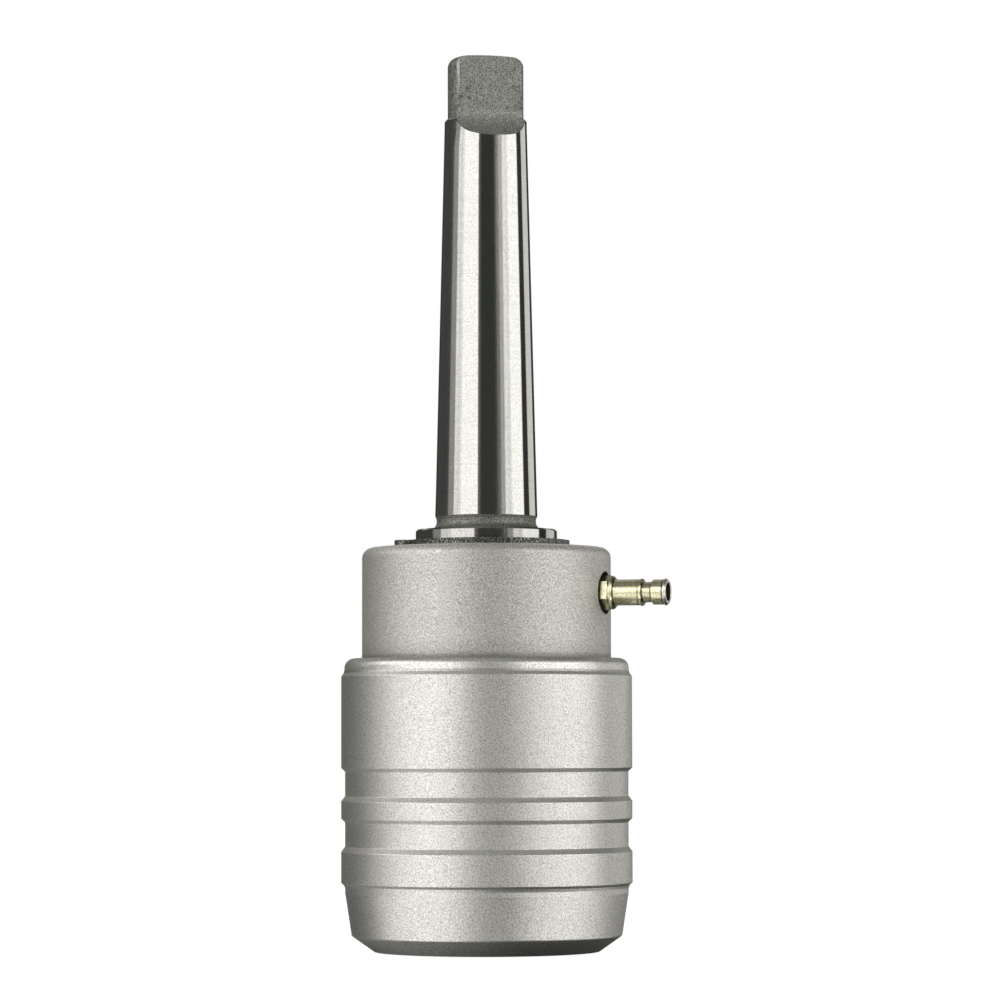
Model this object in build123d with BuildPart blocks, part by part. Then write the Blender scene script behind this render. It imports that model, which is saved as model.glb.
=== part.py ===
from build123d import *
import math
import os

# Quick-change arbor for annular cutters: Morse taper shank No. 2, rotating coolant ring
# on the journal, spring-loaded release sleeve over two locking pins.
# Millimetres. +Z up along the spindle axis. Origin: centre of the cutter bore's mouth,
# in the plane of the arbor's nose, which is also the lowest point.
# The coolant nipple points along +X.

os.makedirs("parts", exist_ok=True)

# ---------------------------------------------------------------- driving dimensions
# Morse taper No. 2 with tang
gauge_d = 17.780            # diameter in the gauge plane
taper_ratio = 1 / 20.020    # taper on diameter
gauge_z = 83.5              # height of the gauge plane
taper_big_z = 76.75         # large end of the ground taper
taper_small_z = 147.6       # small end of the ground taper
tang_end_z = 158.5          # end of the tang
tang_d = 13.5               # turned diameter of the tang
tang_t = 6.3                # thickness of the tang
tang_flat_z = 149.6         # lower end of the straight part of the tang's flats
tang_mill_r = 6.0           # cutter radius that runs the flats out
tang_corner_r = 1.7         # rounding of the tang's end
tang_crown = 0.2            # height of the crown on the tang's end face
tang_angle = -58.0          # direction of the tang's flats, degrees from +X

# relief and journal above the coolant ring
relief_top_z = 76.2         # upper side of the relief groove under the taper
relief_fillet = 1.4         # rounding between the groove and the collar
relief_r = 8.8              # radius of the relief groove
collar_z = 74.39            # top of the journal collar
journal_r = 12.5            # journal radius
circlip_top_z = 72.46       # upper wall of the circlip groove
circlip_t = 1.15            # circlip thickness
circlip_groove_w = 1.3
circlip_groove_r = 11.95
journal_bot_z = 49.4        # shoulder that carries the bearing's inner race
shoulder_r = 14.0

# guide flange and body
flange_r = 22.15
flange_bot_z = 42.0
flange_top_z = 46.0
body_r = 17.0

# cutter socket
bore_r = 9.525              # 19.05 mm cutter shank
bore_chamfer = 0.4
land_low_z = 12.5           # top of the lower bore land
relief_bore_r = 10.0        # relieved bore around the locking pins
land_up_z0 = 26.5           # bottom of the upper bore land
socket_z = 33.5             # end face of the socket

# coolant valve
valve_bore_r = 7.0
valve_wide_r = 8.2          # chamber where the plunger's seal opens
valve_wide_z0 = 43.0
valve_wide_z1 = 52.0
valve_end_z = 56.0
valve_travel = 8.0
feed_r = 3.0                # axial coolant hole
feed_top_z = 65.5
cross_r = 1.75              # cross holes to the coolant ring
nipple_z = 63.0             # height of the coolant nipple and the cross holes

# coolant ring housing
housing_r = 22.0
housing_bot_z = 46.5
housing_top_z = 71.16
housing_fillet = 1.8
housing_bore_r = 18.5       # seat of the ball bearing
seal_bore_r = 15.02         # grooves of the shaft seals
web_r = 12.7                # inner webs of the housing
chamber_r = 15.5            # ring chamber for the coolant

# ball bearing 25 x 37 x 7
race_w = 7.0
race_in_r = 14.4
race_out_r = 16.6
ball_r = 1.75
ball_pitch_r = 15.5
ball_count = 20
bearing_mid_z = journal_bot_z + race_w / 2
groove_r = ball_r + 0.05

# release sleeve
sleeve_travel = 6.5
sleeve_bot_z = 0.16
sleeve_top_z = 51.63
sleeve_lip_r = 1.62          # rounding of the sleeve's upper rim
sleeve_neck_r = 25.10        # radius just under that rounding
sleeve_r = 25.68            # rings and main band
sleeve_groove_r = 24.99     # grip grooves
sleeve_bore_r = 22.2
sleeve_land_r = 17.05
cam_slope = 0.28            # radius lost per millimetre of height
cam_ref_z = 21.39           # height and radius of the cone where the pins touch
cam_ref_r = 17.29
cam_top_z = 22.25
recess_r = 19.7
recess_bot_z = 7.5
spring_seat_z = 24.0

# locking pins
pin_z = 19.5
pin_shank_r = 4.0
pin_head_r = 5.0
pin_dome_r = 7.0
pin_face_r = 7.75           # flat inner face, on the cutter's flat
pin_shoulder_r = 13.4
pin_apex_r = 17.5

# springs
sleeve_wire = 2.4
sleeve_coil_r = 19.75
sleeve_turns = 4.25
plunger_wire = 0.9
plunger_coil_r = 4.6
plunger_turns = 5.0

# nose ring that holds the sleeve
nose_wire_r = 0.9
nose_ring_r = 17.0
nose_ring_z = 1.6

# guide pin between flange and sleeve
guide_r = 1.5
guide_z = 44.0
guide_angle = 110.0
guide_in_r = 17.6
guide_out_r = 23.1
keyway_w = 3.2
keyway_r = 23.3
keyway_bot_z = 35.8

# coolant nipple, distances along X
spot_r = 3.72
spot_x = 20.45
nipple_thread_r = 2.5
thread_x = 16.4
hex_x0 = 20.95
hex_x1 = 23.0
hex_af = 5.45
hex_r = 3.13                # turned radius of the hexagon
hex_turn = 22.0             # direction of the hexagon's corners
ring_x = 23.84              # end of the turned ring beside the hexagon
barrel_x = 28.92
neck_x = 30.65
tip_x = 33.4
nipple_bore_r = 1.35
nipple_mouth_r = 1.57
mouth_x = 31.9              # where the wider mouth of the bore ends


def taper_r(z):
    """Radius of the ground taper at a height."""
    return gauge_d / 2 - (z - gauge_z) * taper_ratio / 2


def cam_r(z):
    """Radius of the sleeve's inner cone at a height, sleeve down."""
    return cam_ref_r - cam_slope * (z - cam_ref_z)


def radial(angle, r, z):
    """Plane whose normal points outwards at an angle, with its local y along +Z."""
    a = math.radians(angle)
    return Plane(
        origin=(r * math.cos(a), r * math.sin(a), z),
        x_dir=(-math.sin(a), math.cos(a), 0),
        z_dir=(math.cos(a), math.sin(a), 0),
    )


def meridian(angle):
    """Plane through the axis: local x outwards at an angle, local y along +Z."""
    a = math.radians(angle)
    return Plane(
        origin=(0, 0, 0),
        x_dir=(math.cos(a), math.sin(a), 0),
        z_dir=(math.sin(a), -math.cos(a), 0),
    )


# ================================================================ arbor
# One turned and ground piece: nose with the cutter bore, guide flange, bearing
# journal, relief groove, Morse taper and tang.
with BuildPart() as arbor_shank:
    with BuildSketch(Plane.XZ) as arbor_outline:
        with BuildLine():
            Polyline(
                (0, 0),
                (body_r - 0.5, 0),
                (body_r, 0.5),
                (body_r, flange_bot_z - 1.0),
                (body_r - 0.5, flange_bot_z - 0.5),
                (body_r - 0.5, flange_bot_z),
                (flange_r - 0.4, flange_bot_z),
                (flange_r, flange_bot_z + 0.4),
                (flange_r, flange_top_z - 0.4),
                (flange_r - 0.4, flange_top_z),
                (shoulder_r, flange_top_z),
                (shoulder_r, journal_bot_z - 0.3),
                (shoulder_r - 0.3, journal_bot_z),
                (journal_r - 0.25, journal_bot_z),
                (journal_r - 0.25, journal_bot_z + 0.8),
                (journal_r, journal_bot_z + 1.05),
                (journal_r, circlip_top_z - circlip_groove_w),
                (circlip_groove_r, circlip_top_z - circlip_groove_w),
                (circlip_groove_r, circlip_top_z),
                (journal_r - 0.1, circlip_top_z),
                (journal_r, circlip_top_z + 0.1),
                (journal_r, collar_z - 0.3),
                (journal_r - 0.3, collar_z),
                (relief_r + relief_fillet, collar_z),
            )
            ThreePointArc(
                (relief_r + relief_fillet, collar_z),
                (relief_r + relief_fillet * (1 - math.sin(math.radians(45))),
                 collar_z + relief_fillet * (1 - math.cos(math.radians(45)))),
                (relief_r, collar_z + relief_fillet),
            )
            Polyline(
                (relief_r, collar_z + relief_fillet),
                (relief_r, relief_top_z),
                (relief_r + 0.1, relief_top_z + 0.22),
                (taper_r(taper_big_z) - 0.12, taper_big_z - 0.2),
                (taper_r(taper_big_z), taper_big_z),
                (taper_r(taper_small_z - 0.5), taper_small_z - 0.5),
                (taper_r(taper_small_z - 0.5) - 0.5, taper_small_z),
                (tang_d / 2, taper_small_z),
                (tang_d / 2, tang_end_z - tang_corner_r),
            )
            ThreePointArc(
                (tang_d / 2, tang_end_z - tang_corner_r),
                (tang_d / 2 - tang_corner_r * (1 - math.sin(math.radians(45))),
                 tang_end_z - tang_corner_r * (1 - math.cos(math.radians(45)))),
                (tang_d / 2 - tang_corner_r, tang_end_z),
            )
            ThreePointArc(
                (tang_d / 2 - tang_corner_r, tang_end_z),
                ((tang_d / 2 - tang_corner_r) / 2, tang_end_z + tang_crown * 0.75),
                (0, tang_end_z + tang_crown),
            )
            Line((0, tang_end_z + tang_crown), (0, 0))
        make_face()
    revolve(axis=Axis.Z)

    # flats of the tang, run out with the milling cutter's radius
    with BuildSketch(meridian(tang_angle)) as tang_cut:
        with BuildLine():
            t = tang_t / 2
            Line((t, tang_end_z + 2), (t, tang_flat_z))
            ThreePointArc(
                (t, tang_flat_z),
                (t + tang_mill_r * (1 - math.cos(math.radians(45))),
                 tang_flat_z - tang_mill_r * math.sin(math.radians(45))),
                (t + tang_mill_r, tang_flat_z - tang_mill_r),
            )
            Polyline(
                (t + tang_mill_r, tang_flat_z - tang_mill_r),
                (t + tang_mill_r, tang_end_z + 2),
                (t, tang_end_z + 2),
            )
        make_face()
        mirror(about=Plane.YZ)
    extrude(amount=12, both=True, mode=Mode.SUBTRACT)

    # centre hole in the tang's end, left from grinding between centres
    with BuildSketch(Plane.XZ) as centre_hole:
        with BuildLine():
            Polyline(
                (0, tang_end_z + 0.5),
                (2.0 + 0.289, tang_end_z + 0.5),
                (1.0, tang_end_z - 1.73),
                (1.0, tang_end_z - 3.6),
                (0, tang_end_z - 4.1),
                close=True,
            )
        make_face()
    revolve(axis=Axis.Z, mode=Mode.SUBTRACT)

    # cutter socket, valve bore and axial coolant hole
    with BuildSketch(Plane.XZ) as socket_outline:
        with BuildLine():
            Polyline(
                (0, -1),
                (bore_r + bore_chamfer + 1, -1),
                (bore_r, bore_chamfer),
                (bore_r, land_low_z),
                (relief_bore_r, land_low_z + 0.475),
                (relief_bore_r, land_up_z0 - 0.475),
                (bore_r, land_up_z0),
                (bore_r, socket_z),
                (valve_bore_r + 0.3, socket_z),
                (valve_bore_r, socket_z + 0.3),
                (valve_bore_r, 34.85),
                (valve_bore_r + 0.3, 34.85),
                (valve_bore_r + 0.3, 35.95),
                (valve_bore_r, 35.95),
                (valve_bore_r, valve_wide_z0),
                (valve_wide_r, valve_wide_z0 + 1.2),
                (valve_wide_r, valve_wide_z1 - 1.2),
                (valve_bore_r, valve_wide_z1),
                (valve_bore_r, valve_end_z),
                (feed_r, valve_end_z),
                (feed_r, feed_top_z),
                (0, feed_top_z + 1.7),
                close=True,
            )
        make_face()
    revolve(axis=Axis.Z, mode=Mode.SUBTRACT)

    # cross holes that let the coolant in from the ring
    for cross_angle in (45, 135):
        with BuildSketch(radial(cross_angle, 0, nipple_z)) as cross_hole:
            Circle(cross_r)
        extrude(amount=journal_r + 1, both=True, mode=Mode.SUBTRACT)

    # stepped pockets of the two locking pins
    for pin_angle in (0, 90):
        with BuildSketch(radial(pin_angle, 5.0, pin_z)) as pin_hole:
            Circle(pin_shank_r + 0.03)
        extrude(amount=15, mode=Mode.SUBTRACT)
        with BuildSketch(radial(pin_angle, pin_shoulder_r - 0.1, pin_z)) as pin_pocket:
            Circle(pin_head_r + 0.05)
        extrude(amount=6, mode=Mode.SUBTRACT)

    # hole for the guide pin in the flange
    with BuildSketch(radial(guide_angle, guide_in_r - 0.2, guide_z)) as guide_hole:
        Circle(guide_r + 0.01)
    extrude(amount=6, mode=Mode.SUBTRACT)

    # half-round groove for the nose ring
    with BuildSketch(Plane.XZ) as nose_groove:
        with Locations((nose_ring_r, nose_ring_z)):
            Circle(nose_wire_r + 0.03)
    revolve(axis=Axis.Z, mode=Mode.SUBTRACT)

arbor_shank.part.label = "arbor_shank"
export_step(arbor_shank.part, "parts/arbor_shank.step")

# External circlip on the journal, over the coolant ring. Its ears point away from the nipple.
with BuildPart() as journal_circlip:
    clip_plane = Plane(
        origin=(0, 0, circlip_top_z - circlip_t),
        x_dir=(math.cos(math.radians(18)), math.sin(math.radians(18)), 0),
        z_dir=(0, 0, 1),
    )
    with BuildSketch(clip_plane) as clip_face:
        with Locations((0.33, 0)):
            Circle(14.4)
        with Locations((-14.24, 2.95), (-14.24, -2.95)):
            Circle(1.95)
        with Locations((-12.7, 2.98), (-12.7, -2.98)):
            Rectangle(3.4, 3.86)
        Circle(circlip_groove_r, mode=Mode.SUBTRACT)
        with Locations((-14, 0)):
            Rectangle(9, 2.1, mode=Mode.SUBTRACT)
        with Locations((-14.24, 2.95), (-14.24, -2.95)):
            Circle(1.0, mode=Mode.SUBTRACT)
    extrude(amount=circlip_t)
journal_circlip.part.label = "journal_circlip"
export_step(journal_circlip.part, "parts/journal_circlip.step")

# Thin shim between the circlip and the coolant ring.
with BuildPart() as thrust_shim:
    with BuildSketch(Plane.XY.offset(housing_top_z + 0.02)) as shim_face:
        Circle(17.0)
        Circle(journal_r + 0.06, mode=Mode.SUBTRACT)
    extrude(amount=circlip_top_z - circlip_t - housing_top_z - 0.04)
thrust_shim.part.label = "thrust_shim"
export_step(thrust_shim.part, "parts/thrust_shim.step")

# Round-wire ring in the nose groove: the sleeve's cone rests on it.
with BuildPart() as nose_snap_ring:
    with BuildSketch(Plane.XZ) as nose_wire:
        with Locations((nose_ring_r, nose_ring_z)):
            Circle(nose_wire_r)
    revolve(axis=Axis.Z, revolution_arc=342)
nose_snap_ring.part.label = "nose_snap_ring"
export_step(nose_snap_ring.part, "parts/nose_snap_ring.step")

# Guide pin pressed radially into the flange: it keeps the sleeve from turning.
with BuildPart() as guide_pin:
    with BuildSketch(radial(guide_angle, guide_in_r, guide_z)) as guide_face:
        Circle(guide_r)
    extrude(amount=guide_out_r - guide_in_r)
    chamfer(guide_pin.edges().filter_by(GeomType.CIRCLE), length=0.25)
guide_pin.part.label = "guide_pin"
export_step(guide_pin.part, "parts/guide_pin.step")

# Compression spring of the sleeve, between the flange and the sleeve's inner shoulder.
with BuildPart() as sleeve_spring:
    spring_h = flange_bot_z - spring_seat_z - sleeve_wire - 0.1
    spring_z0 = spring_seat_z + sleeve_wire / 2 + 0.05
    with BuildLine() as spring_path:
        Helix(
            pitch=spring_h / sleeve_turns,
            height=spring_h,
            radius=sleeve_coil_r,
            center=(0, 0, spring_z0),
        )
    with BuildSketch(Plane(
        origin=spring_path.line @ 0,
        z_dir=spring_path.line % 0,
    )) as spring_wire:
        Circle(sleeve_wire / 2)
    sweep(path=spring_path.line, is_frenet=True)
sleeve_spring.part.label = "sleeve_spring"
export_step(sleeve_spring.part, "parts/sleeve_spring.step")

# ================================================================ coolant valve
# Plunger that the cutter's pilot pin pushes up to open the coolant way.
with BuildPart() as valve_plunger:
    with BuildSketch(Plane.XZ) as plunger_outline:
        with BuildLine():
            Polyline(
                (0, 34.3),
                (2.2, 34.3),
                (2.2, 34.0),
                (3.2, 34.0),
                (3.6, 34.4),
                (3.6, 36.0),
                (valve_bore_r - 0.35, 36.0),
                (valve_bore_r - 0.05, 36.3),
                (valve_bore_r - 0.05, 38.5),
                (5.25, 38.5),
                (5.25, 40.7),
                (valve_bore_r - 0.05, 40.7),
                (valve_bore_r - 0.05, 41.7),
                (valve_bore_r - 0.35, 42.0),
                (3.9, 42.0),
                (3.9, 45.4),
                (3.5, 45.8),
                (0, 45.8),
                close=True,
            )
        make_face()
    revolve(axis=Axis.Z)
valve_plunger.part.label = "valve_plunger"
export_step(valve_plunger.part, "parts/valve_plunger.step")

# Sealing ring of the plunger.
with BuildPart() as plunger_o_ring:
    with BuildSketch(Plane.XZ) as o_ring_wire:
        with Locations((5.25 + 0.86, 39.6)):
            Circle(0.86)
    revolve(axis=Axis.Z)
plunger_o_ring.part.label = "plunger_o_ring"
export_step(plunger_o_ring.part, "parts/plunger_o_ring.step")

# Internal circlip that keeps the plunger in its bore.
with BuildPart() as plunger_circlip:
    with BuildSketch(Plane.XY.offset(34.9)) as inner_clip_face:
        Circle(valve_bore_r + 0.27)
        with Locations((0.25, 0)):
            Circle(5.85, mode=Mode.SUBTRACT)
        with Locations((-5.45, 1.55), (-5.45, -1.55)):
            Circle(1.0)
        with Locations((-6, 0)):
            Rectangle(4, 1.1, mode=Mode.SUBTRACT)
        with Locations((-5.45, 1.55), (-5.45, -1.55)):
            Circle(0.5, mode=Mode.SUBTRACT)
    extrude(amount=1.0)
plunger_circlip.part.label = "plunger_circlip"
export_step(plunger_circlip.part, "parts/plunger_circlip.step")

# Compression spring over the plunger's stem.
with BuildPart() as plunger_spring:
    coil_h = valve_end_z - 42.0 - plunger_wire - 0.1
    with BuildLine() as coil_path:
        Helix(
            pitch=coil_h / plunger_turns,
            height=coil_h,
            radius=plunger_coil_r,
            center=(0, 0, 42.0 + plunger_wire / 2 + 0.05),
        )
    with BuildSketch(Plane(
        origin=coil_path.line @ 0,
        z_dir=coil_path.line % 0,
    )) as coil_wire:
        Circle(plunger_wire / 2)
    sweep(path=coil_path.line, is_frenet=True)
plunger_spring.part.label = "plunger_spring"
export_step(plunger_spring.part, "parts/plunger_spring.step")

# ================================================================ ball bearing
with BuildPart() as bearing_inner_race:
    with BuildSketch(Plane.XZ) as inner_race_outline:
        with BuildLine():
            Polyline(
                (journal_r + 0.25, journal_bot_z),
                (race_in_r, journal_bot_z),
                (race_in_r, journal_bot_z + race_w),
                (journal_r + 0.25, journal_bot_z + race_w),
                (journal_r, journal_bot_z + race_w - 0.25),
                (journal_r, journal_bot_z + 0.25),
                close=True,
            )
        make_face()
        with Locations((ball_pitch_r, bearing_mid_z)):
            Circle(groove_r, mode=Mode.SUBTRACT)
    revolve(axis=Axis.Z)
bearing_inner_race.part.label = "bearing_inner_race"
export_step(bearing_inner_race.part, "parts/bearing_inner_race.step")

with BuildPart() as bearing_outer_race:
    with BuildSketch(Plane.XZ) as outer_race_outline:
        with BuildLine():
            Polyline(
                (race_out_r, journal_bot_z),
                (housing_bore_r - 0.3, journal_bot_z),
                (housing_bore_r, journal_bot_z + 0.3),
                (housing_bore_r, journal_bot_z + race_w - 0.3),
                (housing_bore_r - 0.3, journal_bot_z + race_w),
                (race_out_r, journal_bot_z + race_w),
                close=True,
            )
        make_face()
        with Locations((ball_pitch_r, bearing_mid_z)):
            Circle(groove_r, mode=Mode.SUBTRACT)
    revolve(axis=Axis.Z)
bearing_outer_race.part.label = "bearing_outer_race"
export_step(bearing_outer_race.part, "parts/bearing_outer_race.step")

# Two lip seals, clipped into the outer race.
with BuildPart() as bearing_seals:
    for seal_z in (journal_bot_z + 0.2, journal_bot_z + race_w - 0.6):
        with BuildSketch(Plane.XY.offset(seal_z)) as seal_face:
            Circle(race_out_r)
            Circle(race_in_r + 0.06, mode=Mode.SUBTRACT)
        extrude(amount=0.4)
bearing_seals.part.label = "bearing_seals"
export_step(bearing_seals.part, "parts/bearing_seals.step")

with BuildPart() as bearing_balls:
    with PolarLocations(ball_pitch_r, ball_count):
        with Locations((0, 0, bearing_mid_z)):
            Sphere(ball_r)
bearing_balls.part.label = "bearing_balls"
export_step(bearing_balls.part, "parts/bearing_balls.step")

# Cage ring with a pocket for each ball.
with BuildPart() as bearing_cage:
    with BuildSketch(Plane.XY.offset(bearing_mid_z - 2.55)) as cage_face:
        Circle(16.2)
        Circle(14.8, mode=Mode.SUBTRACT)
    extrude(amount=5.1)
    with PolarLocations(ball_pitch_r, ball_count):
        with Locations((0, 0, bearing_mid_z)):
            Cylinder(ball_r + 0.07, 4, rotation=(0, 90, 0), mode=Mode.SUBTRACT)
bearing_cage.part.label = "bearing_cage"
export_step(bearing_cage.part, "parts/bearing_cage.step")

# ================================================================ coolant ring
with BuildPart() as coolant_housing:
    bearing_top_z = journal_bot_z + race_w
    with BuildSketch(Plane.XZ) as housing_outline:
        with BuildLine():
            Polyline(
                (housing_r, housing_top_z - housing_fillet),
                (housing_r, housing_bot_z + 0.5),
                (housing_r - 0.5, housing_bot_z),
                (housing_bore_r + 0.4, housing_bot_z),
                (housing_bore_r, housing_bot_z + 0.4),
                (housing_bore_r, journal_bot_z - 1.6),
                (housing_bore_r + 1.0, journal_bot_z - 1.6),
                (housing_bore_r + 1.0, journal_bot_z),
                (housing_bore_r, journal_bot_z),
                (housing_bore_r, bearing_top_z),
                (17.0, bearing_top_z),
                (17.0, bearing_top_z + 0.6),
                (web_r, bearing_top_z + 0.6),
                (web_r, 57.8),
                (seal_bore_r, 57.8),
                (seal_bore_r, 60.6),
                (web_r, 60.6),
                (web_r, 61.2),
                (chamber_r, 61.2),
                (chamber_r, 64.8),
                (web_r, 64.8),
                (web_r, 65.4),
                (seal_bore_r, 65.4),
                (seal_bore_r, housing_top_z - 0.3),
                (seal_bore_r + 0.3, housing_top_z),
                (housing_r - housing_fillet, housing_top_z),
            )
            ThreePointArc(
                (housing_r - housing_fillet, housing_top_z),
                (housing_r - housing_fillet * (1 - math.sin(math.radians(45))),
                 housing_top_z - housing_fillet * (1 - math.cos(math.radians(45)))),
                (housing_r, housing_top_z - housing_fillet),
            )
        make_face()
    revolve(axis=Axis.Z)
    # spot face, tapped hole and feed hole of the nipple
    with BuildSketch(Plane.YZ.offset(spot_x)) as spot_face:
        with Locations((0, nipple_z)):
            Circle(spot_r)
    extrude(amount=3, mode=Mode.SUBTRACT)
    with BuildSketch(Plane.YZ.offset(thread_x - 0.2)) as tapped_hole:
        with Locations((0, nipple_z)):
            Circle(nipple_thread_r + 0.01)
    extrude(amount=6, mode=Mode.SUBTRACT)
    with BuildSketch(Plane.YZ.offset(14.5)) as feed_hole:
        with Locations((0, nipple_z)):
            Circle(1.6)
    extrude(amount=4, mode=Mode.SUBTRACT)
coolant_housing.part.label = "coolant_housing"
export_step(coolant_housing.part, "parts/coolant_housing.step")

# Bronze bush pressed into the top of the housing, running on the journal.
with BuildPart() as upper_bush:
    with BuildSketch(Plane.XZ) as bush_outline:
        with BuildLine():
            Polyline(
                (journal_r + 0.04, 68.3),
                (seal_bore_r, 68.3),
                (seal_bore_r, housing_top_z - 0.25),
                (seal_bore_r - 0.25, housing_top_z),
                (journal_r + 0.34, housing_top_z),
                (journal_r + 0.04, housing_top_z - 0.3),
                close=True,
            )
        make_face()
    revolve(axis=Axis.Z)
upper_bush.part.label = "upper_bush"
export_step(upper_bush.part, "parts/upper_bush.step")

# Four-lobed shaft seals above and below the coolant chamber.
with BuildPart() as upper_shaft_seal:
    with BuildSketch(Plane.XZ) as upper_lobes:
        with Locations((13.76, 66.8)):
            with GridLocations(1.24, 1.24, 2, 2):
                Circle(0.62)
            Rectangle(1.5, 1.5)
    revolve(axis=Axis.Z)
upper_shaft_seal.part.label = "upper_shaft_seal"
export_step(upper_shaft_seal.part, "parts/upper_shaft_seal.step")

with BuildPart() as lower_shaft_seal:
    with BuildSketch(Plane.XZ) as lower_lobes:
        with Locations((13.76, 59.2)):
            with GridLocations(1.24, 1.24, 2, 2):
                Circle(0.62)
            Rectangle(1.5, 1.5)
    revolve(axis=Axis.Z)
lower_shaft_seal.part.label = "lower_shaft_seal"
export_step(lower_shaft_seal.part, "parts/lower_shaft_seal.step")

# Internal circlip under the bearing's outer race.
with BuildPart() as housing_circlip:
    with BuildSketch(Plane.XY.offset(journal_bot_z - 1.5)) as housing_clip_face:
        Circle(housing_bore_r + 0.95)
        with Locations((0.55, 0)):
            Circle(16.6, mode=Mode.SUBTRACT)
        with Locations((-17.0, 3.6), (-17.0, -3.6)):
            Circle(2.0)
        with Locations((-17.5, 0)):
            Rectangle(6, 3.2, mode=Mode.SUBTRACT)
        with Locations((-16.9, 3.6), (-16.9, -3.6)):
            Circle(1.1, mode=Mode.SUBTRACT)
    extrude(amount=1.5)
housing_circlip.part.label = "housing_circlip"
export_step(housing_circlip.part, "parts/housing_circlip.step")

# Coolant nipple: threaded end, hexagon, barrel, catch groove and bored tip.
with BuildPart() as coolant_nipple:
    with BuildSketch(Plane.XZ) as nipple_outline:
        with BuildLine():
            Polyline(
                (thread_x, nipple_z),
                (thread_x, nipple_z + nipple_thread_r - 0.4),
                (thread_x + 0.4, nipple_z + nipple_thread_r),
                (hex_x0 - 1.2, nipple_z + nipple_thread_r),
                (hex_x0 - 0.9, nipple_z + 2.1),
                (hex_x0, nipple_z + 2.1),
                (hex_x0, nipple_z + 2.6),
                (hex_x0 + 0.2, nipple_z + hex_r),
                (hex_x1 - 0.15, nipple_z + hex_r),
                (hex_x1, nipple_z + 2.88),
                (hex_x1, nipple_z + 2.5),
                (hex_x1 + 0.1, nipple_z + 2.5),
                (hex_x1 + 0.1, nipple_z + 2.95),
                (hex_x1 + 0.4, nipple_z + 2.95),
                (hex_x1 + 0.47, nipple_z + 2.83),
                (hex_x1 + 0.55, nipple_z + 2.85),
                (ring_x, nipple_z + 2.52),
                (ring_x, nipple_z + 2.27),
                (barrel_x - 0.75, nipple_z + 2.27),
                (barrel_x - 0.62, nipple_z + 2.17),
                (barrel_x - 0.5, nipple_z + 2.27),
                (barrel_x - 0.42, nipple_z + 2.38),
                (barrel_x - 0.12, nipple_z + 2.38),
                (barrel_x, nipple_z + 2.26),
                (barrel_x + 0.02, nipple_z + 1.85),
                (barrel_x + 0.14, nipple_z + 1.78),
                (neck_x - 0.2, nipple_z + 1.78),
                (neck_x, nipple_z + 1.95),
                (neck_x + 0.15, nipple_z + 2.2),
                (tip_x - 0.62, nipple_z + 2.2),
                (tip_x - 0.52, nipple_z + 2.34),
                (tip_x - 0.34, nipple_z + 2.34),
                (tip_x, nipple_z + 2.08),
                (tip_x, nipple_z),
                close=True,
            )
        make_face()
    revolve(axis=Axis((0, 0, nipple_z), (1, 0, 0)))
    # hexagon cut on the turned collar
    with BuildSketch(Plane.YZ.offset(hex_x0)) as hex_face:
        with Locations((0, nipple_z)):
            Circle(5)
            RegularPolygon(hex_af / 2, 6, major_radius=False, rotation=hex_turn, mode=Mode.SUBTRACT)
    extrude(amount=hex_x1 - hex_x0, mode=Mode.SUBTRACT)
    # bore with a wider, chamfered mouth
    with BuildSketch(Plane.XZ) as nipple_bore:
        with BuildLine():
            Polyline(
                (thread_x - 1, nipple_z),
                (thread_x - 1, nipple_z + nipple_bore_r),
                (mouth_x, nipple_z + nipple_bore_r),
                (mouth_x + 0.22, nipple_z + nipple_mouth_r),
                (tip_x - 0.08, nipple_z + nipple_mouth_r),
                (tip_x + 0.42, nipple_z + nipple_mouth_r + 0.5),
                (tip_x + 0.42, nipple_z),
                close=True,
            )
        make_face()
    revolve(axis=Axis((0, 0, nipple_z), (1, 0, 0)), mode=Mode.SUBTRACT)
coolant_nipple.part.label = "coolant_nipple"
export_step(coolant_nipple.part, "parts/coolant_nipple.step")

# Sealing washer under the hexagon.
with BuildPart() as nipple_seal_ring:
    with BuildSketch(Plane.YZ.offset(spot_x)) as washer_face:
        with Locations((0, nipple_z)):
            Circle(3.3)
            Circle(2.55, mode=Mode.SUBTRACT)
    extrude(amount=hex_x0 - spot_x)
nipple_seal_ring.part.label = "nipple_seal_ring"
export_step(nipple_seal_ring.part, "parts/nipple_seal_ring.step")

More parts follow.
